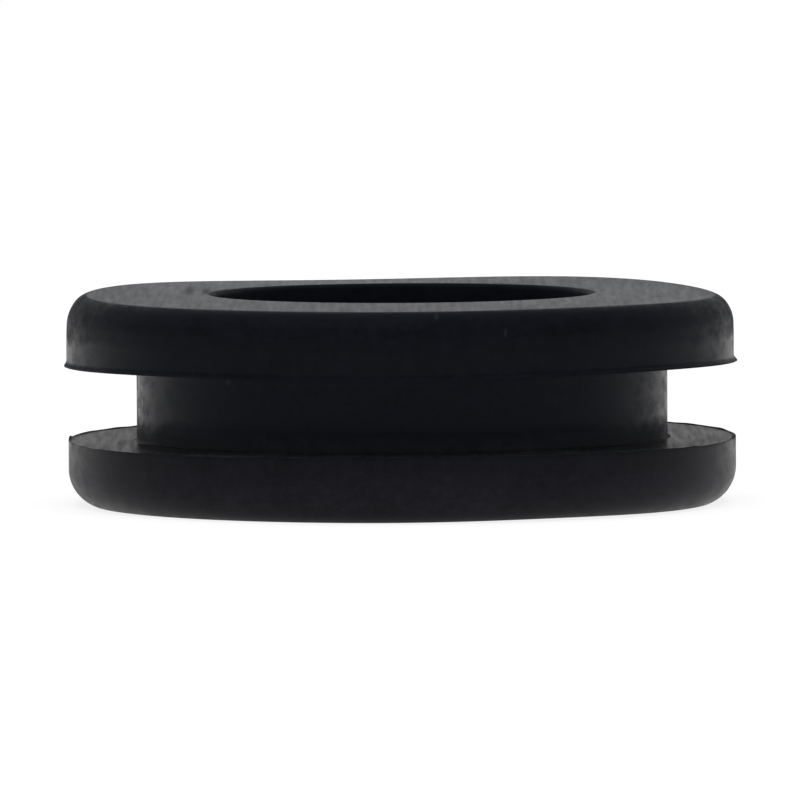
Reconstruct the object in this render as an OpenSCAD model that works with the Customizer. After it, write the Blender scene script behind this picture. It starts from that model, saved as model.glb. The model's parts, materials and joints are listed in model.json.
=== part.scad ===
// Rubber panel grommet.
// One moulded ring with a groove round its waist. The groove grips the edge of a
// round hole in a sheet panel, a flange on each side holds it there, and a cable
// runs through the bore. The ring is one revolved section, so that section is what
// this file draws: x is the distance from the axis and y is the height.

/* [Bore] */
// Diameter of the hole that the cable runs through
bore_d = 15.9; // [8:0.1:18.5]
// Radius on the upper mouth of the bore
upper_mouth_r = 0.3; // [0.1:0.05:0.8]
// Radius on the lower mouth of the bore
lower_mouth_r = 0.3; // [0.1:0.05:0.8]

/* [Groove] */
// Diameter of the groove's floor, which fills the hole in the panel
groove_d = 22.2; // [19:0.1:25]
// Width of the groove, which is the thickness of panel that it takes
groove_w = 3.2; // [0.8:0.1:8]
// Radius in the two inside corners of the groove
groove_root_r = 0.15; // [0.05:0.05:0.35]

/* [Upper flange] */
// Diameter of the upper flange, without its lip
upper_d = 28; // [25.5:0.1:40]
// Thickness of the upper flange at the bore, where it is greatest
upper_t = 3; // [2.7:0.1:6]
// How far the top face falls from the bore out to the rim
upper_fall = 0.1; // [0:0.02:0.3]
// Height of the upright band at the foot of the flange's side
upper_band_h = 1.15; // [0.6:0.05:1.3]
// Angle in degrees by which the side leans in above that band
upper_draft = 4; // [0:0.5:8]
// Radius of the arc that rounds the upper flange's outer corner
upper_corner_r = 1.9; // [1.6:0.05:3]
// Length that this arc takes from the side, measured down from the rim
upper_corner_h = 1.3; // [0.5:0.05:1.5]

/* [Lower flange] */
// Diameter of the lower flange
lower_d = 28; // [25.5:0.1:40]
// Thickness of the lower flange
lower_t = 2.7; // [1.9:0.1:6]
// Radius of the arc that rounds the lower flange's outer corner
lower_corner_r = 1.65; // [1.6:0.05:3]
// Height above the base at which that arc runs into the side
lower_corner_h = 1.55; // [0.5:0.05:1.6]
// Radius on the lower flange's edge at the mouth of the groove
groove_edge_r = 0.1; // [0.05:0.05:0.3]

/* [Parting lip] */
// How far the lip at the mould's parting line stands out from the upper flange
lip_out = 0.12; // [0.06:0.01:0.2]
// Radius round the rim of the lip
lip_rim_r = 0.08; // [0.04:0.01:0.12]
// Radius of the flare that runs the flange's side out into the lip
lip_flare_r = 0.2; // [0.1:0.01:0.4]

/* [Hidden] */
$fn = 144;
RUBBER_BLACK = [0.09, 0.10, 0.115];
over = 1; // how far a cutting shape runs on past the faces that it cuts

bore_r = bore_d / 2;
groove_r = groove_d / 2;
upper_r = upper_d / 2;
lower_r = lower_d / 2;
groove_top = lower_t + groove_w; // height of the groove's upper wall
height = groove_top + upper_t;
rim_top = height - upper_fall;
band_top = groove_top + upper_band_h;

// What a rounding takes off a corner. The corner's point is at the origin, its faces
// are x = 0 and y = 0, and its solid is at -x and +y. The arc leaves the face x = 0
// smoothly at height h. Where h is less than r it meets the face y = 0 at an edge, as
// in a mould whose cavity was turned and whose flat end was faced afterwards.
module rounding(r, h) {
    difference() {
        translate([-r, -over]) square([r + over, over + h]);
        translate([-r, h]) circle(r);
    }
}

// What a fillet adds in an inside corner. The corner's point is at the origin and its
// open side is at +x and +y. The shape runs into both walls, so that it fuses to them.
module fillet(r) {
    difference() {
        translate([-r, -r]) square(2 * r);
        translate([r, r]) circle(r);
    }
}

// The sleeve between the bore and the groove's floor. It runs half way into the upper
// flange, so that the two fuse.
module sleeve_section() {
    translate([bore_r, 0]) square([groove_r - bore_r, groove_top + upper_t / 2]);
}

// The flange under the panel, with its rounded outer corner at the base
module lower_flange_section() {
    difference() {
        translate([bore_r, 0]) square([lower_r - bore_r, lower_t]);
        translate([lower_r, 0]) rounding(lower_corner_r, lower_corner_h);
        translate([lower_r, lower_t]) mirror([0, 1]) rounding(groove_edge_r, groove_edge_r);
    }
}

// The flange on top of the panel. Its side stands upright for the height of the band and
// then leans in, and its top face falls a little from the bore's mouth out to the rim.
// The outer corner between those two is rounded, square to the leaning side.
module upper_flange_section() {
    corner = [upper_r - tan(upper_draft) * (rim_top - band_top), rim_top];
    mouth = [bore_r + upper_mouth_r, height];
    difference() {
        polygon([
            [bore_r, groove_top], [upper_r, groove_top], [upper_r, band_top],
            corner, mouth, [bore_r, height],
        ]);
        translate(corner) rotate(upper_draft) mirror([0, 1])
            rounding(upper_corner_r, upper_corner_h);
    }
}

// The thin lip that the mould leaves where its halves part, at the upper flange's lower
// edge. Its rim is round. A hollow flare runs the side of the flange out into the rim,
// and the two arcs touch on the line between their centres.
module lip_section() {
    rim = [upper_r + lip_out - lip_rim_r, groove_top + lip_rim_r];
    reach = lip_flare_r + lip_rim_r; // from one centre to the other
    rise = sqrt(reach ^ 2 - (reach - lip_out) ^ 2);
    flare = [upper_r + lip_flare_r, rim.y + rise];
    root = upper_r - lip_rim_r; // inside the flange, so that the lip fuses to it
    difference() {
        polygon([[root, groove_top], [rim.x, groove_top], rim, flare, [root, flare.y]]);
        translate(flare) circle(lip_flare_r);
    }
    translate(rim) circle(lip_rim_r);
}

// The whole section, with the groove's inside corners filled and the bore's mouths eased
module grommet_section() {
    difference() {
        union() {
            sleeve_section();
            lower_flange_section();
            upper_flange_section();
            lip_section();
            translate([groove_r, lower_t]) fillet(groove_root_r);
            translate([groove_r, groove_top]) mirror([0, 1]) fillet(groove_root_r);
        }
        translate([bore_r, 0]) mirror([1, 0]) rounding(lower_mouth_r, lower_mouth_r);
        translate([bore_r, height]) mirror([1, 0]) mirror([0, 1])
            rounding(upper_mouth_r, upper_mouth_r);
    }
}

// The grommet: its section turned once round the axis of the bore
module grommet() {
    color(RUBBER_BLACK) rotate_extrude() grommet_section();
}

grommet();
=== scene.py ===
# %% [markdown]
# # A moulded rubber grommet
# A grommet is one ring of rubber with a groove round its waist. The groove grips the
# edge of a hole in a panel, and a cable runs through the middle. In this lesson the
# ring is one surface, worked out with numpy from its cross-section. Then it is put a
# little out of true, as soft rubber is, given a matt black finish, and set in a pale
# studio under a long lens.

import json
import math

import bpy
import numpy as np
from mathutils import Matrix, Vector


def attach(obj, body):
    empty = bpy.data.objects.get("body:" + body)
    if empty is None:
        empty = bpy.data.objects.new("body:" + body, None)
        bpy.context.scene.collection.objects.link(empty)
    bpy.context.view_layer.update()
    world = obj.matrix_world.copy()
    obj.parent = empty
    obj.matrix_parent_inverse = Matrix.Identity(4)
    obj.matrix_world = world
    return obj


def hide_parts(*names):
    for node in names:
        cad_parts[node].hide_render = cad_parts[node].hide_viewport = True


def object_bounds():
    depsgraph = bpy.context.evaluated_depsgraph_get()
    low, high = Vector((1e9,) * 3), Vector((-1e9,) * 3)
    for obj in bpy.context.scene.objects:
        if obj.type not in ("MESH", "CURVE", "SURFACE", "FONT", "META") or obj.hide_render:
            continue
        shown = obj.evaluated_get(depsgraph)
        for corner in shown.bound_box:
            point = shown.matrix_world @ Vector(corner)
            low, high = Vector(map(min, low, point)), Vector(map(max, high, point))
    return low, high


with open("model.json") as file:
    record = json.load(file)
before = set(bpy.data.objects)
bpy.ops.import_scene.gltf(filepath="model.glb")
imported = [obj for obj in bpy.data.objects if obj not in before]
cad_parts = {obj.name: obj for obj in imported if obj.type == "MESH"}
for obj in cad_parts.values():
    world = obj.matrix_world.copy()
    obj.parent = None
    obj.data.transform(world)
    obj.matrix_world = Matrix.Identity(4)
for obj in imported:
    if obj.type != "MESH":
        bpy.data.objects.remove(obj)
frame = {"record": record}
cad_low, cad_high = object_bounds()
MM = 0.001
print("CAD box, mm:", [round((b - a) / MM, 2) for a, b in zip(cad_low, cad_high)])

# %% [markdown]
# ## Sizes
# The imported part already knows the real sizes: its box gives the height and the widest
# radius, and its mounts give the bore, the groove and the two faces that the panel
# seats on. Reading them from the frame keeps the surface on the part that the physics
# uses. Only the small radii and angles, which no mount needs, are written here.
# The surface stays a few hundredths of a millimetre inside the box, so that the places
# where the ring is out of true have room.

# %% Read the main sizes and name the small ones
mounts = {m["name"]: m for m in frame["record"]["mounts"]}

bore_r = mounts["cable_bore"]["dims"]["r_mm"] * MM
groove_r = mounts["panel_groove"]["dims"]["r_mm"] * MM
lower_top = mounts["panel_seat_lower"]["pos_m"][2]
upper_base = mounts["panel_seat_upper"]["pos_m"][2]
base_z = float(cad_low.z)

side_room = 0.04 * MM
top_room = 0.13 * MM
face_top = float(cad_high.z) - top_room

lip_out = 0.12 * MM
lip_rim_r = 0.055 * MM
lip_flare_r = 0.20 * MM
lip_sag = 0.02 * MM
lip_sag_width = 0.80 * MM
lip_r = cad_high.x - side_room
upper_r = lip_r - lip_out
lower_r = upper_r

upper_fall = 0.03 * MM
upper_band_h = 1.15 * MM
upper_draft = math.radians(2.0)
upper_corner_r = 1.50 * MM
upper_corner_h = 1.20 * MM
lower_corner_r = 1.62 * MM
lower_corner_h = 1.50 * MM
soft_edge_r = 0.08 * MM
top_edge_r = 0.80 * MM
burr_high = 0.05 * MM
burr_width = 0.12 * MM
burr_tip_r = 0.02 * MM
groove_root_r = 0.15 * MM
mouth_r = 0.20 * MM
print("radii of bore, groove and flange, mm:", [round(r / MM, 2) for r in (bore_r, groove_r, upper_r)])

# %% [markdown]
# ## The cross-section
# The real ring takes its shape from a mould, and the mould is turned on a lathe, so the
# section is made of straight stretches and arcs of circles. It could be drawn as a
# Bezier curve and given a Screw modifier. Here each stretch is a short array of points,
# because then every radius is a number with a meaning, and the rows of the mesh fall
# where the form turns. A point is (distance from the axis, height).

# %% Straight stretches and arcs


def line(start, end, rows):
    """Points from start towards end: start + t (end - start), with t from 0 to just under 1."""
    t = np.linspace(0.0, 1.0, rows, endpoint=False)[:, None]
    return np.asarray(start) + t * (np.asarray(end) - np.asarray(start))


def arc(centre, radius, start_deg, end_deg, rows):
    """Points on a circle: centre + radius (cos a, sin a), with a from start to just short of end."""
    a = np.radians(np.linspace(start_deg, end_deg, rows, endpoint=False))
    return np.asarray(centre) + radius * np.column_stack([np.cos(a), np.sin(a)])


def flange_corner(side_r, draft, arc_r, arc_h, edge_r):
    """The two arcs of a flange's outer corner, worked out for a corner at the base.

    The side leans in by the angle draft and reaches (side_r, arc_h). The large arc
    leaves it smoothly there, so its centre is arc_r away, square to the side. A small
    arc of radius edge_r lies inside it and rolls onto the flat face, so its centre is
    at height edge_r, arc_r - edge_r from the first centre. The angle of that line
    follows from the two. Returns both centres and the angle, in degrees below the
    horizontal, at which the arcs meet.
    """
    large = np.array([side_r - arc_r * math.cos(draft), arc_h + arc_r * math.sin(draft)])
    dip = math.asin((large[1] - edge_r) / (arc_r - edge_r))
    small = large + (arc_r - edge_r) * np.array([math.cos(dip), -math.sin(dip)])
    return large, small, math.degrees(dip)


print("a quarter of a circle in 3 rows:", arc((0.0, 0.0), 1.0, 0.0, 90.0, 3).round(2).tolist())


# %% [markdown]
# The corners come first. The lower flange's side is upright. The upper flange's side is
# an upright band that then leans in by a few degrees of draft, which lets the ring out
# of its mould. The lip at the parting line is a thin rim, with a hollow flare that runs
# the band out into it.

# %% Work out the corners and the lip
band_top = upper_base + upper_band_h
rim_top = face_top - upper_fall
draft_top = rim_top - upper_corner_h
drafted_r = upper_r - math.tan(upper_draft) * (draft_top - band_top)
flip = np.array([1.0, -1.0])
low_corner = (lower_r, 0.0, lower_corner_r, lower_corner_h, soft_edge_r)
top_corner = (drafted_r, upper_draft, upper_corner_r, upper_corner_h, top_edge_r)
low_large, low_small, low_dip = flange_corner(*low_corner)
top_large, top_small, top_dip = flange_corner(*top_corner)
top_large = top_large * flip + [0, rim_top]
top_small = top_small * flip + [0, rim_top]

reach = lip_flare_r + lip_rim_r
lip_rise = math.sqrt(reach**2 - (reach - lip_out) ** 2)
rim = np.array([lip_r - lip_rim_r, upper_base - lip_sag + lip_rim_r])
flare = np.array([upper_r + lip_flare_r, rim[1] + lip_rise])
touch_deg = math.degrees(math.atan2(lip_rise, flare[0] - rim[0]))
print("corner arcs turn by, degrees:", round(low_dip, 1), round(top_dip, 1))

# %% [markdown]
# The walk starts on the base beside the bore and goes round the section with the rubber
# on its left: out along the base, up the lower flange, in and out of the groove, round
# the lip, up and over the upper flange, and down the bore. The last number of each
# stretch is its count of rows.

# %% Walk round the section
root_r = groove_r + groove_root_r
sag_r = rim[0] - lip_sag_width
burr_top = lower_top + burr_high
burr_tip = np.array([lower_r - burr_tip_r, burr_top - burr_tip_r])
burr_foot = (lower_r - burr_width, lower_top)
burr_slope = math.atan2(burr_high, burr_width)
burr_turn = 90 + math.degrees(burr_slope)
burr_crest = burr_tip + burr_tip_r * np.array([-math.sin(burr_slope), math.cos(burr_slope)])
groove_low = (groove_r, lower_top + groove_root_r)
groove_high = (groove_r, upper_base - groove_root_r)
stretches = {
    "base": line((bore_r + mouth_r, base_z), (low_small[0], base_z), 10),
    "base_edge": arc(low_small, soft_edge_r, -90, -low_dip, 4),
    "lower_corner": arc(low_large, lower_corner_r, -low_dip, 0, 20),
    "lower_side": line((lower_r, lower_corner_h), (lower_r, burr_tip[1]), 6),
    "burr_tip": arc(burr_tip, burr_tip_r, 0, burr_turn, 6),
    "burr_back": line(burr_crest, burr_foot, 4),
    "lower_seat": line(burr_foot, (root_r, lower_top), 12),
    "lower_root": arc((root_r, lower_top + groove_root_r), groove_root_r, 270, 180, 5),
    "groove_floor": line(groove_low, groove_high, 9),
    "upper_root": arc((root_r, upper_base - groove_root_r), groove_root_r, 180, 90, 5),
    "upper_seat": line((root_r, upper_base), (sag_r, upper_base), 11),
    "lip_sag": line((sag_r, upper_base), (rim[0], upper_base - lip_sag), 4),
    "lip_rim": arc(rim, lip_rim_r, -90, touch_deg, 8),
    "lip_flare": arc(flare, lip_flare_r, touch_deg + 180, 180, 6),
    "upper_band": line((upper_r, flare[1]), (upper_r, band_top), 6),
    "upper_draft": line((upper_r, band_top), (drafted_r, draft_top), 4),
    "upper_corner": arc(top_large, upper_corner_r, math.degrees(upper_draft), top_dip, 16),
    "top_edge": arc(top_small, top_edge_r, top_dip, 90, 8),
    "top_face": line((top_small[0], rim_top), (bore_r + mouth_r, face_top), 16),
    "top_mouth": arc((bore_r + mouth_r, face_top - mouth_r), mouth_r, 90, 180, 8),
    "bore": line((bore_r, face_top - mouth_r), (bore_r, base_z + mouth_r), 9),
    "base_mouth": arc((bore_r + mouth_r, base_z + mouth_r), mouth_r, 180, 270, 5),
}
section = np.vstack(list(stretches.values()))
print("rows in the section:", len(section))

# %% [markdown]
# ## The surface
# Turning the section round the axis gives a grid: one row per point of the section and
# one column per step of angle. The grid closes on itself both ways, so the ring has no
# seam and no open edge.

# %% Turn the section into a grid of points
COLUMNS = 520
turn = np.linspace(0.0, 2.0 * math.pi, COLUMNS, endpoint=False)


def revolve(rows, angles):
    """Points (r cos a, r sin a, z) for every row (r, z) and every angle a."""
    r, z = rows[:, :1], rows[:, 1:]
    return np.stack([r * np.cos(angles), r * np.sin(angles), z * np.ones_like(angles)], axis=-1)


true_grid = revolve(section, turn)
print("grid:", true_grid.shape)

# %% [markdown]
# ## Out of true
# No small rubber ring is a perfect turning. This one was pulled warm from its mould, so
# its faces aren't quite parallel and the rims of its flanges rise and fall. The half
# of the mould that shaped the upper flange's skin also sat a little to one side. Each
# of those faults is a few hundredths of a millimetre, and together they come to 0.15 mm
# at most. It could be done by hand with the sculpting brushes. A formula is chosen
# because it is the same at every run, and each fault has its own size.

# %% Lean, mismatch and waves
mid_groove = 0.5 * (lower_top + upper_base)
LEAN_AT = [base_z, lower_top, upper_base, face_top]
LEAN_DEG = [0.0, 0.13, 0.27, 0.0]
MISMATCH = 0.037 * MM
SKIN_LEAN_DEG = 0.3
FOOT_HIGH = 0.06 * MM
FOOT_DEG = -60.0
FOOT_HALF_WIDTH_DEG = 22.0
TOP_WAVES = (
    (1, 0.078 * MM, 104.0),
    (2, 0.016 * MM, 15.0),
    (3, 0.068 * MM, 44.5),
    (4, 0.037 * MM, 53.0),
)
LIP_WAVES = ((4, 0.045 * MM, 45.0),)
SHELF_WAVES = ((1, 0.028 * MM, 90.0), (3, 0.042 * MM, 34.0))


def fraction(value, start, end):
    """How far value lies on the way from start to end, held between 0 and 1."""
    return np.clip((value - start) / (end - start), 0.0, 1.0)


def waves(angle, terms):
    """The sum of size cos(k (angle - peak)) over the terms (k, size, peak in degrees)."""
    return sum(size * np.cos(k * (angle - math.radians(peak))) for k, size, peak in terms)


def out_of_true(points):
    """Moves each point a little, as the sum of five small faults.

    lean: z grows by x tan(lean), with the lean read off between the faces by height.
    mismatch: the upper flange's skin goes one way along x and the rest goes the other,
    and the skin also leans, by tan(skin lean) for each unit of height above the seat.
    waves: z grows by a sum of cosines of the angle, more and more towards three rims:
    those of the top face, of the lip and of the groove's lower seat, called the shelf.
    foot: the base's rim stands off the ground by high exp(-(angle from its middle / half width)^2).
    """
    x, y, z = points[..., 0], points[..., 1], points[..., 2]
    radius = np.hypot(x, y)
    angle = np.arctan2(y, x)
    lean = np.tan(np.radians(np.interp(z, LEAN_AT, LEAN_DEG)))
    skin = (z > upper_base) * fraction(radius, groove_r, upper_r)
    skin_lean = math.tan(math.radians(SKIN_LEAN_DEG)) * np.clip(z - upper_base, 0.0, face_top - upper_base)
    above = z > mid_groove
    outwards = fraction(radius, groove_r, upper_r)
    to_top = fraction(z, upper_base, face_top) * fraction(radius, bore_r, top_small[0])
    to_lip = above * fraction(z, band_top, upper_base) * outwards
    to_shelf = ~above * fraction(z, lower_corner_h, lower_top) * outwards
    away = np.degrees(angle) - FOOT_DEG
    foot = FOOT_HIGH * np.exp(-((away / FOOT_HALF_WIDTH_DEG) ** 2)) * fraction(z, lower_top, base_z)
    foot = foot * fraction(radius, groove_r, low_small[0])
    lift = to_top * waves(angle, TOP_WAVES) + to_lip * waves(angle, LIP_WAVES)
    lift = lift + to_shelf * waves(angle, SHELF_WAVES)
    moved = points.copy()
    moved[..., 0] = x + MISMATCH * (1.0 - 2.0 * skin) + skin * skin_lean
    moved[..., 2] = z + x * lean + lift + foot
    return moved


quarters = turn[:: COLUMNS // 4]
print("lift of the top's rim every 90 degrees, mm:", (waves(quarters, TOP_WAVES) / MM).round(3).tolist())


# %% [markdown]
# The lip is flash: rubber that crept between the parts of the mould and was trimmed
# off. On the lower flange the same thing left a burr that stands up from the edge of
# the groove. Both stand out more in some places than in others, and the burr has one
# nib, where the trimming missed a little.

# %% Trim the lip and the burr unevenly
TRIM_SEED = 7
KNOTS = 96
LIP_LEAST, LIP_MOST = 0.45, 0.90
BURR_LEAST, BURR_MOST = 0.30, 1.20
NIB_DEG = 177.0
NIB_HALF_WIDTH_DEG = 2.5
NIB_TIMES = 1.6
rng = np.random.default_rng(TRIM_SEED)
knot_deg = np.linspace(0.0, 360.0, KNOTS, endpoint=False)
lip_share = np.interp(np.degrees(turn), knot_deg, rng.uniform(LIP_LEAST, LIP_MOST, KNOTS), period=360)
burr_share = np.interp(np.degrees(turn), knot_deg, rng.uniform(BURR_LEAST, BURR_MOST, KNOTS), period=360)
burr_share += NIB_TIMES * np.exp(-(((np.degrees(turn) - NIB_DEG) / NIB_HALF_WIDTH_DEG) ** 2))


def trimmed(points):
    """Scales what stands out past the band, and what stands up from the groove's edge.

    Each is multiplied by a share that runs straight from knot to knot round the ring.
    """
    radius = np.hypot(points[..., 0], points[..., 1])
    proud = np.maximum(radius - upper_r, 0.0)
    on_burr = (radius > lower_r - burr_width) & (points[..., 2] < mid_groove)
    burr = np.where(on_burr, np.maximum(points[..., 2] - lower_top, 0.0), 0.0)
    cut = points.copy()
    cut[..., :2] *= ((radius - proud * (1.0 - lip_share)) / radius)[..., None]
    cut[..., 2] += burr * (burr_share - 1.0)
    return cut


grid = out_of_true(trimmed(true_grid))
print("moved by at most, mm:", round(float(np.linalg.norm(grid - true_grid, axis=-1).max()) / MM, 3))

# %% [markdown]
# The grid becomes a mesh of quads. foreach_set hands each whole array to the mesh at
# once, which is far quicker than adding vertices one by one.

# %% Make the ring


def ring_mesh(name, points):
    """A mesh from a grid of points that closes on itself both ways, as quads that face outwards."""
    rows, columns = points.shape[:2]
    index = np.arange(rows * columns).reshape(rows, columns)
    right = np.roll(index, -1, axis=1)
    quads = np.stack([index, right, np.roll(right, -1, axis=0), np.roll(index, -1, axis=0)], axis=-1)
    mesh = bpy.data.meshes.new(name)
    mesh.vertices.add(rows * columns)
    mesh.vertices.foreach_set("co", points.reshape(-1).astype(np.float32))
    mesh.loops.add(quads.size)
    mesh.loops.foreach_set("vertex_index", quads.reshape(-1).astype(np.int32))
    mesh.polygons.add(rows * columns)
    mesh.polygons.foreach_set("loop_start", np.arange(0, quads.size, 4, dtype=np.int32))
    mesh.update(calc_edges=True)
    mesh.validate()
    mesh.shade_smooth()
    return mesh


ring = bpy.data.objects.new("moulded_ring", ring_mesh("moulded_ring", grid))
bpy.context.scene.collection.objects.link(ring)
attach(ring, "root")
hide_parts("grommet")
print("triangles in the ring:", 2 * len(ring.data.polygons))

# %% [markdown]
# ## Colours and nodes
# Colours are written as the sRGB hex values that a colour picker shows, and one
# function turns them to the linear values that the shader works in. One more function
# adds a node of any kind, with its settings and its links. Where several values are
# multiplied or added, a third one sets nodes in a row. Most of the shaping is done by
# Map Range nodes: each holds a value between two ends and maps that range onto another,
# which is 0 to 1 where nothing else is said.

# %% Helpers for materials
MULTIPLY = {"operation": "MULTIPLY"}
ADD = {"operation": "ADD"}
MAXIMUM = {"operation": "MAXIMUM"}
LENGTH = {"operation": "LENGTH"}
FALLING = {"To Min": 1.0, "To Max": 0.0}
SMOOTH = {"interpolation_type": "SMOOTHSTEP"}


def linear(hex_colour):
    """An sRGB hex colour as linear RGBA: c / 12.92 up to 0.04045, else ((c + 0.055) / 1.055)^2.4."""
    c = np.array([int(hex_colour[i : i + 2], 16) for i in (1, 3, 5)]) / 255.0
    rgb = np.where(c <= 0.04045, c / 12.92, ((c + 0.055) / 1.055) ** 2.4)
    return (*rgb.tolist(), 1.0)


def add_node(owner, kind, settings=None, links=None):
    """Adds a node to the tree of a material or of the world.

    settings sets its fields, or its sockets by name or number. links feeds its sockets,
    each from an output or from a node, which then stands for its first output.
    """
    tree = owner.node_tree
    node = tree.nodes.new(kind)
    for key, value in (settings or {}).items():
        if isinstance(key, int) or key in node.inputs:
            node.inputs[key].default_value = value
        else:
            setattr(node, key, value)
    for key, source in (links or {}).items():
        output = source.outputs[0] if isinstance(source, bpy.types.Node) else source
        tree.links.new(output, node.inputs[key])
    return node


def add_chain(owner, kind, settings, first, *others):
    """Adds nodes of one kind in a row, each joining the one before it and the next of the others."""
    joined = first
    for other in others:
        joined = add_node(owner, kind, settings, {0: joined, 1: other})
    return joined


def new_material(name):
    """A material with an empty node tree."""
    material = bpy.data.materials.new(name)
    material.use_nodes = True
    material.node_tree.nodes.clear()
    return material


print("the mid grey #808080 in linear light:", round(linear("#808080")[0], 3))

# %% [markdown]
# ## The rubber
# The ring is compression-moulded black rubber, filled with carbon black. Fresh from the
# mould its skin is matt and faintly grained. Head on it sends back almost no light,
# because the pores between the grains swallow it. At a grazing angle it has a soft
# grey sheen. So the specular level is well under the 0.5 of a clean surface, at the
# usual IOR of 1.5, and the sheen comes from the shader's own Fresnel.
#
# The parts of the mould weren't finished alike, and the lower flange is lighter towards
# its base. A material for each band would leave a hard border between them.
# Both follow the height, so one colour ramp is the chart for them: its colour is the
# rubber's colour, with painted fill light on the neck, and its alpha is the roughness.
# The bore is shaped by a plain core pin, so all of it takes the chart's last entry.

# %% Chart the finish by height
SOOT = "#101218"
# The neck's colour is lighter than SOOT: painted fill light where the flanges keep light off the groove.
WAIST_WITH_PAINTED_FILL = "#181a22"
CORE_EDGE = 0.01 * MM
# Each entry is a height, the roughness there and the colour there.
CHART = (
    # The lower flange's colour grows lighter towards the base.
    (base_z, 0.385, "#262529"),
    (1.20 * MM, 0.365, "#1f1e24"),
    (lower_top - 0.05 * MM, 0.33, "#14151a"),
    (lower_top + 0.06 * MM, 0.60, SOOT),
    (lower_top + 0.20 * MM, 0.60, WAIST_WITH_PAINTED_FILL),
    (lower_top + 0.40 * MM, 0.58, WAIST_WITH_PAINTED_FILL),
    (lower_top + 1.10 * MM, 0.36, WAIST_WITH_PAINTED_FILL),
    (upper_base - 0.30 * MM, 0.36, WAIST_WITH_PAINTED_FILL),
    (upper_base - 0.05 * MM, 0.50, SOOT),
    (upper_base + 0.05 * MM, 0.50, SOOT),
    (upper_base + 0.20 * MM, 0.32, SOOT),
    (band_top - 0.20 * MM, 0.32, SOOT),
    (band_top + 0.25 * MM, 0.48, SOOT),
)

rubber = new_material("moulded_black_rubber")
place = add_node(rubber, "ShaderNodeTexCoord").outputs["Object"]
height = add_node(rubber, "ShaderNodeSeparateXYZ", links={"Vector": place}).outputs["Z"]
flat = add_node(rubber, "ShaderNodeVectorMath", {**MULTIPLY, 1: (1, 1, 0)}, {0: place})
radius = add_node(rubber, "ShaderNodeVectorMath", LENGTH, {0: flat}).outputs["Value"]
core_end = bore_r + mouth_r
core_range = {"From Min": core_end, "From Max": core_end + CORE_EDGE, **FALLING}
in_bore = add_node(rubber, "ShaderNodeMapRange", core_range, {"Value": radius})
way_up = add_node(rubber, "ShaderNodeMapRange", {"From Max": face_top}, {"Value": height})
share = add_node(rubber, "ShaderNodeMath", MAXIMUM, {0: way_up, 1: in_bore})
chart = add_node(rubber, "ShaderNodeValToRGB", links={0: share})
stops = chart.color_ramp.elements
# A new ramp already has two stops.
for number, (z, roughness, colour) in enumerate(CHART):
    stop = stops[number] if number < 2 else stops.new(z / face_top)
    stop.position = z / face_top
    stop.color = (*linear(colour)[:3], roughness)
print("stops in the chart:", len(stops))

# %% [markdown]
# Several patterns break up the skin. The mottle is the filler, which isn't mixed evenly,
# in clouds about 2 mm across. The patches, half a millimetre across, are where the
# skin has been rubbed. The wipes are finer streaks along y, where the flat faces were
# wiped to and fro. The grain is the mould's blasted finish: its grit leaves pits of
# about 0.05 mm, drawn here at 0.15 mm, as coarse as it needs to be to show. The lathe's
# feed left fine level rings in the mould, 0.2 mm apart. An image texture could be
# wrapped round the ring, but a noise has no seam and needs only its size. A stretched
# pattern is the same noise read along squeezed coordinates.

# %% Mottle, patches, wipes, grain and turning rings
MOTTLE_MM, PATCH_MM, WIPE_MM, GRAIN_MM, FEED_MM = 2.2, 0.5, 0.25, 0.15, 0.20
MOTTLE_TONE, PATCH_TONE, GRAIN_TONE, FEED_TONE = 0.16, 0.20, 0.13, 0.05
FINER_LAYERS = 0.6
OFTEN_LOW, OFTEN_HIGH = 0.3, 0.7


def skin_pattern(size_mm, detail, squeeze=(1.0, 1.0, 1.0), seed=0):
    """A noise with features about size_mm across, longer along an axis that is squeezed.

    Each finer layer of detail is 0.6 as strong as the one before. A seed reads the
    noise in another place, so that its clouds fall differently.
    """
    where = {"Scale": squeeze, "Location": (seed * MM, 0.0, 0.0)}
    along = add_node(rubber, "ShaderNodeMapping", where, {"Vector": place})
    settings = {"Scale": 1.0 / (size_mm * MM), "Detail": detail, "Roughness": FINER_LAYERS}
    return add_node(rubber, "ShaderNodeTexNoise", settings, {"Vector": along})


def vary(pattern, middle, swing):
    """Turns a pattern into values round middle: its usual span, 0.3 to 0.7, becomes middle +- swing."""
    often = {"From Min": OFTEN_LOW, "From Max": OFTEN_HIGH}
    ends = {"To Min": middle - swing, "To Max": middle + swing}
    return add_node(rubber, "ShaderNodeMapRange", {**often, **ends}, {"Value": pattern})


mottle = skin_pattern(MOTTLE_MM, detail=4.0, seed=4)
patches = skin_pattern(PATCH_MM, detail=3.0, squeeze=(1.0, 0.4, 1.0))
wipes = skin_pattern(WIPE_MM, detail=2.0, squeeze=(1.0, 0.05, 1.0), seed=2)
grain = skin_pattern(GRAIN_MM, detail=2.0)
feed = skin_pattern(FEED_MM, detail=1.0, squeeze=(0.04, 0.04, 1.0))
clouds = [vary(mottle, 1.0, MOTTLE_TONE), vary(patches, 1.0, PATCH_TONE)]
fine_marks = [vary(grain, 1.0, GRAIN_TONE), vary(feed, 1.0, FEED_TONE)]
tone = add_chain(rubber, "ShaderNodeMath", MULTIPLY, *clouds, *fine_marks)
print("patterns from clouds to rings, mm:", MOTTLE_MM, PATCH_MM, WIPE_MM, GRAIN_MM, FEED_MM)

# %% [markdown]
# Pale dust has settled on the faces that look up. On the shelf of the groove its share
# is a little larger, and there it is also painted fill light, which lifts the shade under
# the upper flange. The raised burr at the shelf's rim holds none.
# It could be painted on as a mask, but the normal finds those faces by itself. Dust
# covers only a part of the rubber, so each amount here is the share of the area that
# it covers.

# %% Lay dust on what looks up
# This colour is laid both as pale dust and as painted fill light.
DUST_AND_FILL = "#8f9195"
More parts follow.
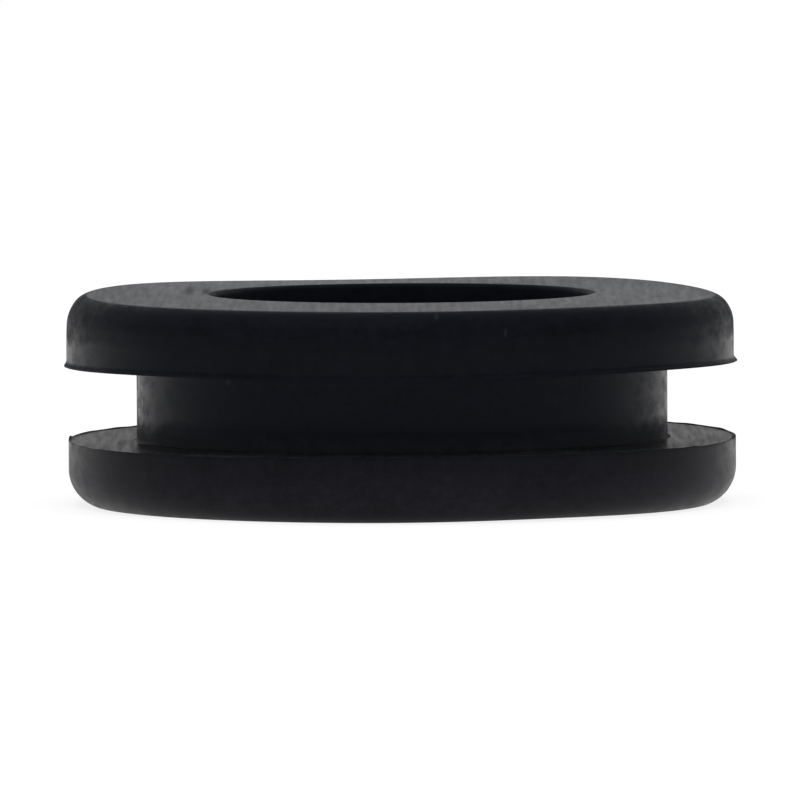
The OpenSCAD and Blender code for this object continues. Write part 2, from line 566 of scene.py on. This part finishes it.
# On the shelf the dust's share is dust and painted fill light.
SHELF_DUST_AND_FILL, SHELF_ROUGH, SHELF_WIPED = 0.14, 0.32, 0.07
DUST_TOP, TOP_ROUGH, TOP_WIPED = 0.13, 0.345, 0.05
DUST_MOTTLE, DUST_GRAIN, SHELF_STREAKS = 0.12, 0.25, 0.15
# The normal's z is 0.96 where the skin is tilted by 16 degrees, and 0.998 at 4 degrees.
TILTED, LEVEL = 0.96, 0.998
DUSTY_TO, CLEAN_FROM = lower_r - 1.3 * burr_width, lower_r - 0.8 * burr_width
surface = add_node(rubber, "ShaderNodeNewGeometry")
facing = add_node(rubber, "ShaderNodeSeparateXYZ", links={"Vector": surface.outputs["Normal"]})
burr_range = {"From Min": DUSTY_TO, "From Max": CLEAN_FROM, **FALLING}
inside_burr = add_node(rubber, "ShaderNodeMapRange", burr_range, {"Value": radius})
tilt_range = {"From Min": TILTED, "From Max": LEVEL, **SMOOTH}
lies_flat = add_node(rubber, "ShaderNodeMapRange", tilt_range, {"Value": facing.outputs["Z"]})
looks_up = add_node(rubber, "ShaderNodeMath", MULTIPLY, {0: lies_flat, 1: inside_burr})


def from_shelf_to_top(shelf, top):
    """A value that is one thing on the groove's shelf and another on the top face."""
    ends = {"From Min": lower_top, "From Max": upper_base, "To Min": shelf, "To Max": top}
    return add_node(rubber, "ShaderNodeMapRange", ends, {"Value": height})


amount = from_shelf_to_top(SHELF_DUST_AND_FILL, DUST_TOP)
clumping = [vary(mottle, 1.0, DUST_MOTTLE), vary(grain, 1.0, DUST_GRAIN)]
speckled = add_chain(rubber, "ShaderNodeMath", MULTIPLY, amount, looks_up, *clumping)
streaking = [vary(wipes, 0.0, 1.0), from_shelf_to_top(SHELF_STREAKS, 0.0)]
streaks = add_chain(rubber, "ShaderNodeMath", MULTIPLY, speckled, *streaking)
settled_dust_and_shelf_fill = add_node(rubber, "ShaderNodeMath", ADD, {0: speckled, 1: streaks})
print("dust covers, of the shelf and of the top:", SHELF_DUST_AND_FILL, DUST_TOP)

# %% [markdown]
# Painted fill light lifts the shade in the groove's lower root and on the shelf beside it,
# where the flanges keep light off. It is laid in the dust's colour, as two more amounts
# that fall off from there: one up and out from the root, and one along the shelf.

# %% Paint fill light round the neck
# Both amounts are painted fill light in the dust's colour.
ROOT_FILL, ROOT_H = 0.07, 0.80 * MM
CORNER_FILL, CORNER_W = 0.04, 2.0 * MM
root_range = {"From Min": lower_top, "From Max": lower_top + ROOT_H, "To Min": ROOT_FILL, "To Max": 0.0}
up_the_neck = add_node(rubber, "ShaderNodeMapRange", root_range, {"Value": height})
sleeve_range = {"From Min": bore_r, "From Max": groove_r}
outside_bore = add_node(rubber, "ShaderNodeMapRange", sleeve_range, {"Value": radius})
neck_range = {"From Min": groove_r, "From Max": groove_r + ROOT_H, **FALLING}
near_neck = add_node(rubber, "ShaderNodeMapRange", neck_range, {"Value": radius})
painted_root_fill = add_chain(rubber, "ShaderNodeMath", MULTIPLY, up_the_neck, outside_bore, near_neck)
corner_range = {"From Min": groove_r, "From Max": groove_r + CORNER_W, **FALLING}
into_corner = add_node(rubber, "ShaderNodeMapRange", corner_range, {"Value": radius})
on_shelf = from_shelf_to_top(CORNER_FILL, 0.0)
painted_shelf_fill = add_chain(rubber, "ShaderNodeMath", MULTIPLY, on_shelf, into_corner, looks_up)
# The root and corner amounts printed here are painted fill light.
print("more dust in the root and in the corner:", ROOT_FILL, CORNER_FILL)

# %% [markdown]
# A few single marks are listed one by one, as they would be placed with a brush: four
# specks of the same dust that cling to the skin, and two touches of a finger beside the
# bore, which took some dust off and dulled the face. Each is a soft ellipsoid round a
# point of the ring, with the point and its sizes along x, y and z in mm.

# %% Place the specks and the touches
SPECKS = (
    ((4.27, -13.18, 7.78), (0.05, 0.40, 0.15), 0.045),
    ((1.46, -13.40, 8.46), (0.07, 0.40, 0.10), 0.045),
    ((-10.62, -3.10, 3.64), (0.13, 0.50, 0.18), 0.28),
    ((-7.11, -8.49, 5.59), (0.08, 0.40, 0.11), 0.06),
)
TOUCHES = (
    ((-8.84, 2.3, 8.79), (0.18, 2.2, 0.50), 1.0),
    ((-8.15, 1.7, 8.77), (0.13, 1.9, 0.50), 1.0),
)
TOUCHED_ROUGH = 0.20
DUST_LEFT = 0.7


def spot(centre_mm, size_mm, strength):
    """The strength at a point, falling smoothly to half of it at size and to 0 at twice that."""
    scale = [1.0 / (size * MM) for size in size_mm]
    shift = [-where / size for where, size in zip(centre_mm, size_mm)]
    local = add_node(rubber, "ShaderNodeMapping", {"Location": shift, "Scale": scale}, {"Vector": place})
    away = add_node(rubber, "ShaderNodeVectorMath", LENGTH, {0: local}).outputs["Value"]
    fade_range = {"From Min": 2.0, "From Max": 0.0, "To Max": strength, **SMOOTH}
    return add_node(rubber, "ShaderNodeMapRange", fade_range, {"Value": away})


specks = add_chain(rubber, "ShaderNodeMath", ADD, *[spot(*mark) for mark in SPECKS])
touches = add_chain(rubber, "ShaderNodeMath", ADD, *[spot(*mark) for mark in TOUCHES])
spared_range = {"To Min": 1.0, "To Max": DUST_LEFT}
spared = add_node(rubber, "ShaderNodeMapRange", spared_range, {"Value": touches})
left_on = add_node(rubber, "ShaderNodeMath", MULTIPLY, {0: settled_dust_and_shelf_fill, 1: spared})
# This mixes real dust and specks with painted fill light in the groove.
dust_and_painted_fill = add_chain(rubber, "ShaderNodeMath", ADD, left_on, painted_root_fill, painted_shelf_fill, specks)
print("specks and touches:", len(SPECKS), len(TOUCHES))

# %% [markdown]
# The sheen varies more than the colour does. It shows most where the light grazes: on
# the top face, on the shelf of the groove and towards the left and right edges. The
# lower flange has the more even skin. Where dust lies, it fills the grain and brings
# its own pattern, the wipes.
#
# The roughness is held at 0.28 or more. Below about 0.27 the render's denoiser takes a
# surface for a mirror, and the border between the two would show as dark squiggles.

# %% Vary the roughness
LEAST_ROUGH = 0.28
LOWER_UNEVEN = 0.6
EVEN_FROM = lower_top - 0.3 * MM
MOTTLE_ROUGH, PATCH_ROUGH, GRAIN_ROUGH = 0.08, 0.10, 0.05
cloudy = [vary(mottle, 0.0, MOTTLE_ROUGH), vary(patches, 0.0, PATCH_ROUGH)]
uneven = add_chain(rubber, "ShaderNodeMath", ADD, *cloudy, vary(grain, 0.0, GRAIN_ROUGH))
lower_range = {"From Min": EVEN_FROM, "From Max": lower_top, "To Min": LOWER_UNEVEN}
calmer = add_node(rubber, "ShaderNodeMapRange", lower_range, {"Value": height})
evened = add_node(rubber, "ShaderNodeMath", MULTIPLY, {0: uneven, 1: calmer})
skin_rough = add_node(rubber, "ShaderNodeMath", ADD, {0: chart.outputs["Alpha"], 1: evened})
dust_wiped = [vary(wipes, 0.0, 1.0), from_shelf_to_top(SHELF_WIPED, TOP_WIPED)]
wiped = add_chain(rubber, "ShaderNodeMath", MULTIPLY, *dust_wiped)
dulled = add_node(rubber, "ShaderNodeMapRange", {"To Max": TOUCHED_ROUGH}, {"Value": touches})
dust_base = from_shelf_to_top(SHELF_ROUGH, TOP_ROUGH)
dusty_rough = add_chain(rubber, "ShaderNodeMath", ADD, dust_base, wiped, dulled)
# A Mix node has a pair of sockets for each type: 2 and 3 for numbers, 6 and 7 for colours.
by_dust = {0: looks_up, 2: skin_rough, 3: dusty_rough}
mixed_rough = add_node(rubber, "ShaderNodeMix", links=by_dust)
held_range = {"From Min": LEAST_ROUGH, "To Min": LEAST_ROUGH}
rough = add_node(rubber, "ShaderNodeMapRange", held_range, {"Value": mixed_rough})
chart_rough = [roughness for z, roughness, colour in CHART]
print("roughness in the chart:", min(chart_rough), "to", max(chart_rough))

# %% [markdown]
# One Principled shader takes it all. The dust's colour, laid as dust and as painted fill
# light, goes over the chart's, and the tone scales both. The grain is also a very shallow
# relief. It is 3 thousandths of a millimetre deep, so it is a bump and not a part of the
# mesh, and where dust lies it is filled in. Every form that can be seen as a form is in the mesh.

# %% Join the skin to its shader
IOR, SPECULAR = 1.5, 0.05
RELIEF, GRAIN_DEPTH = 0.5, 0.003 * MM
dust_and_fill_colour = {"data_type": "RGBA", 7: linear(DUST_AND_FILL)}
dust_and_fill_laid = add_node(rubber, "ShaderNodeMix", dust_and_fill_colour, {0: dust_and_painted_fill, 6: chart.outputs["Color"]}).outputs[2]
skin_colour = add_node(rubber, "ShaderNodeVectorMath", {"operation": "SCALE"}, {0: dust_and_fill_laid, "Scale": tone})
depth_range = {"To Min": RELIEF, "To Max": 0.0}
depth = add_node(rubber, "ShaderNodeMapRange", depth_range, {"Value": looks_up})
pits = {"Height": grain, "Strength": depth}
relief = add_node(rubber, "ShaderNodeBump", {"Distance": GRAIN_DEPTH}, pits)
gloss = {"IOR": IOR, "Specular IOR Level": SPECULAR}
links = {"Base Color": skin_colour, "Roughness": rough, "Normal": relief}
shader = add_node(rubber, "ShaderNodeBsdfPrincipled", gloss, links)
add_node(rubber, "ShaderNodeOutputMaterial", links={"Surface": shader})
ring.data.materials.append(rubber)
print("nodes in the rubber:", len(rubber.node_tree.nodes))

# %% [markdown]
# ## The floor
# The ring lies on a wide sheet of matt white paper. The paper lights the ring like any
# white paper. To the camera, and in reflections, it gets a glow of its own that brings
# it up to white, so that it needs no more light. The ring still darkens it a little
# where it keeps the light off.

# %% Lay the paper
FLOOR_R = 1.0
PAPER = "#e7e7e7"
PAPER_SEEN = "#7c7c7c"
WHITE = "#ffffff"
PAPER_GLOW = 0.84
FLOOR_SIDES = 96
around = np.linspace(0.0, 2.0 * math.pi, FLOOR_SIDES, endpoint=False)
disc = np.column_stack([FLOOR_R * np.cos(around), FLOOR_R * np.sin(around), np.full(FLOOR_SIDES, base_z)])
floor_mesh = bpy.data.meshes.new("floor")
floor_mesh.from_pydata(disc.tolist(), [], [list(range(FLOOR_SIDES))])
floor = bpy.data.objects.new("floor", floor_mesh)
bpy.context.scene.collection.objects.link(floor)

paper = new_material("matt_white_paper")
ray = add_node(paper, "ShaderNodeLightPath")
rays = [ray.outputs[kind] for kind in ("Is Camera Ray", "Is Glossy Ray", "Is Transmission Ray")]
seen = add_chain(paper, "ShaderNodeMath", MAXIMUM, *rays)
lighting = add_node(paper, "ShaderNodeBsdfDiffuse", {"Color": linear(PAPER)})
shade = add_node(paper, "ShaderNodeBsdfDiffuse", {"Color": linear(PAPER_SEEN)})
glow = add_node(paper, "ShaderNodeEmission", {"Color": linear(WHITE), "Strength": PAPER_GLOW})
backdrop = add_node(paper, "ShaderNodeAddShader", links={0: shade, 1: glow})
choice = add_node(paper, "ShaderNodeMixShader", links={0: seen, 1: lighting, 2: backdrop})
add_node(paper, "ShaderNodeOutputMaterial", links={"Surface": choice})
floor.data.materials.append(paper)
print("paper, m across:", 2.0 * FLOOR_R)

# %% [markdown]
# ## The light
# The studio is a plain dim room with a white skirting all round, level with the
# horizon, so that the paper seems to run on for ever. The wall behind the ring is a
# little brighter than the rest. They could be real walls, but the world's own shader
# does the same with nothing to build.

# %% Paint the room
ROOM = 0.35
BACK_WALL = 0.50
BACK_START = 0.20
BACK_FULL = 0.80
WHITE_TOP = 0.035
WHITE_END = 0.075
world = bpy.data.worlds.new("studio")
bpy.context.scene.world = world
world.use_nodes = True
world.node_tree.nodes.clear()
# In the world's tree, Generated is the direction in which a ray leaves the scene.
direction = add_node(world, "ShaderNodeTexCoord").outputs["Generated"]
towards = add_node(world, "ShaderNodeSeparateXYZ", links={"Vector": direction})
wall_range = {"From Min": BACK_START, "From Max": BACK_FULL, "To Min": ROOM, "To Max": BACK_WALL, **SMOOTH}
walls = add_node(world, "ShaderNodeMapRange", wall_range, {"Value": towards.outputs["Y"]})
skirting_range = {"From Min": WHITE_TOP, "From Max": WHITE_END, **SMOOTH}
upwards = add_node(world, "ShaderNodeMapRange", skirting_range, {"Value": towards.outputs["Z"]})
brightness = add_node(world, "ShaderNodeMix", {2: 1.0}, {0: upwards, 3: walls})
sky = add_node(world, "ShaderNodeBackground", {"Color": linear(WHITE)}, {"Strength": brightness})
add_node(world, "ShaderNodeOutputWorld", links={"Surface": sky})
print("brightness of the walls and of the one behind the ring:", ROOM, BACK_WALL)

# %% [markdown]
# Overhead hangs one large square softbox. It gives most of the light, so a colour
# renders about as it is written. Its own reflection is switched off: on so dark a skin
# it would draw a hard bright line along the upper corner.

# %% Hang the softbox
SOFTBOX_HEIGHT = 1.0
SOFTBOX_SIDE = 1.0
SOFTBOX_WATTS = 9.0
softbox_data = bpy.data.lights.new("overhead_softbox", "AREA")
softbox_data.size = SOFTBOX_SIDE
softbox_data.energy = SOFTBOX_WATTS
softbox = bpy.data.objects.new("overhead_softbox", softbox_data)
softbox.location = (0.0, 0.0, SOFTBOX_HEIGHT)
softbox.visible_glossy = False
softbox.visible_camera = False
bpy.context.scene.collection.objects.link(softbox)
print("softbox, W per square metre:", SOFTBOX_WATTS / SOFTBOX_SIDE**2)

# %% [markdown]
# ## The camera
# A long lens from a little above the panel's plane keeps both flanges almost level
# and still shows the ellipse of the bore.

# %% Set the camera
CAMERA_DISTANCE = 0.56
CAMERA_ELEVATION = math.radians(3.39)
CAMERA_ROLL = math.radians(-0.30)
LENS_MM = 602.4
AIM = Vector((-0.048 * MM, 0.0, 4.281 * MM))
CLIP_START, CLIP_END = 0.01, 10.0
camera_data = bpy.data.cameras.new("camera")
camera_data.lens = LENS_MM
camera_data.clip_start = CLIP_START
camera_data.clip_end = CLIP_END
camera = bpy.data.objects.new("camera", camera_data)
bpy.context.scene.collection.objects.link(camera)
towards_lens = Vector((0.0, -math.cos(CAMERA_ELEVATION), math.sin(CAMERA_ELEVATION)))
tilt = Matrix.Rotation(math.pi / 2 - CAMERA_ELEVATION, 4, "X")
roll = Matrix.Rotation(CAMERA_ROLL, 4, "Z")
camera.matrix_world = Matrix.Translation(AIM + CAMERA_DISTANCE * towards_lens) @ tilt @ roll
bpy.context.scene.camera = camera
bpy.context.scene.view_settings.view_transform = "Standard"
print("angle of view, degrees:", round(math.degrees(camera_data.angle), 2))
